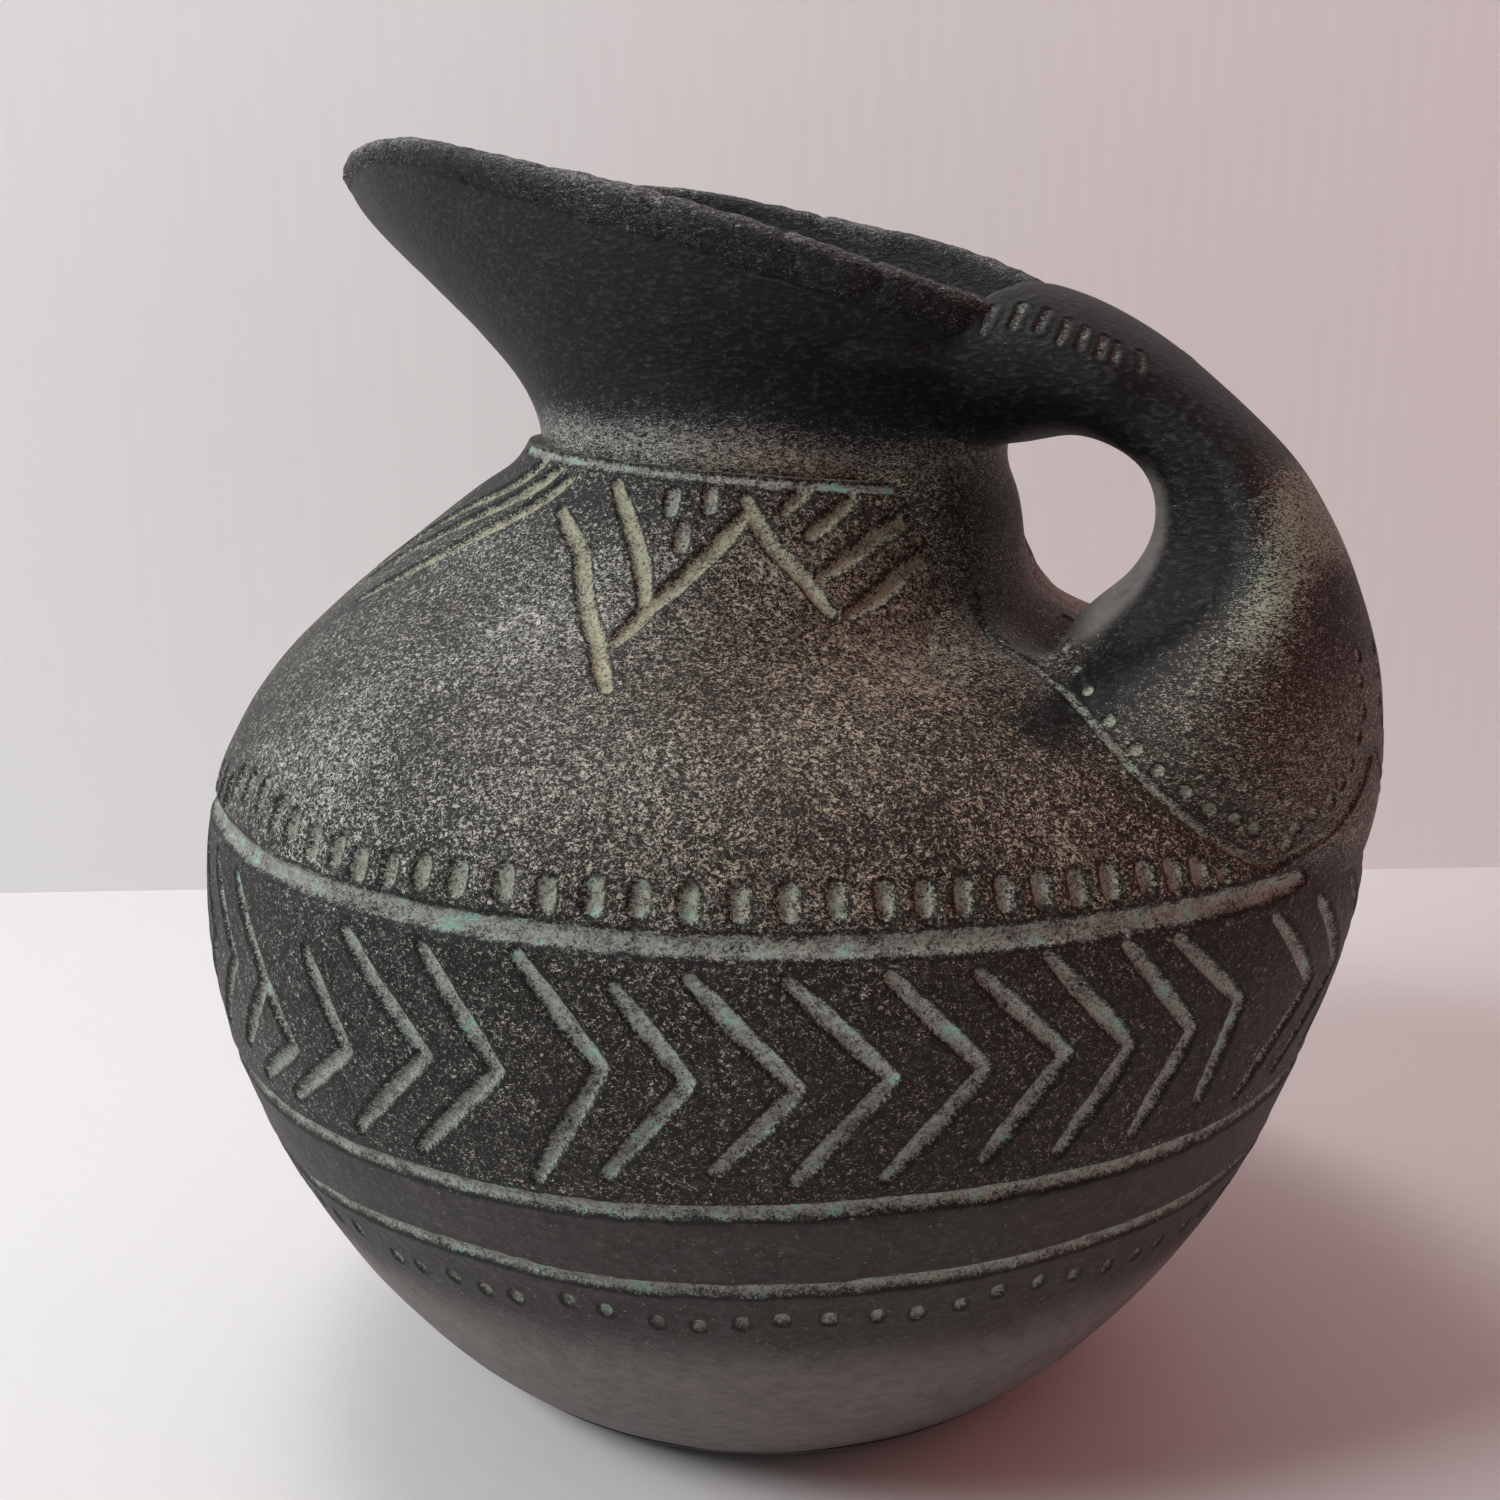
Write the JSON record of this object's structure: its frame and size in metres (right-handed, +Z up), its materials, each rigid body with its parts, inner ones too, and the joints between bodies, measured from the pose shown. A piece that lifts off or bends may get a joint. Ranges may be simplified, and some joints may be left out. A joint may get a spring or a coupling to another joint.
{
  "type": "jug",
  "caption": "Hand-built dark earthenware jug: round belly, oblique beaked mouth, and a handle running from the mouth to a leaf-shaped root on the shoulder.",
  "frame": {"origin": "centre of the flat foot, on the surface the jug stands on", "axes": "+Z up; +X towards the handle, so the spout points along -X; +Y completes the right-handed frame and XZ is the jug's plane of symmetry"},
  "size_m": [0.2597, 0.2504, 0.2807],
  "materials": {
    "slab": "smoothed bare earthenware, matt grey, flat under the foot",
    "belly": "near-black slip rubbed back to a pale grit, with green-grey patina left in the incised lines",
    "inside": "unslipped dark clay, finger-pressed",
    "shoulder": "brown-grey slip speckled with pale grit, satin",
    "mouth": "smoked charcoal-black slip, satin, with a few grey streaks",
    "rim": "rough worn clay coil, cracked, grey where the slip has rubbed off",
    "handle": "dark satin slip with a green-grey bloom along the ridge"
  },
  "bodies": {
    "root": {"base_slab": "slab", "lower_bowl": "belly", "seam_coil": "inside", "shoulder": "shoulder", "beaked_mouth": "mouth", "rim_coil": "rim", "handle": "handle"}
  },
  "joints": []
}
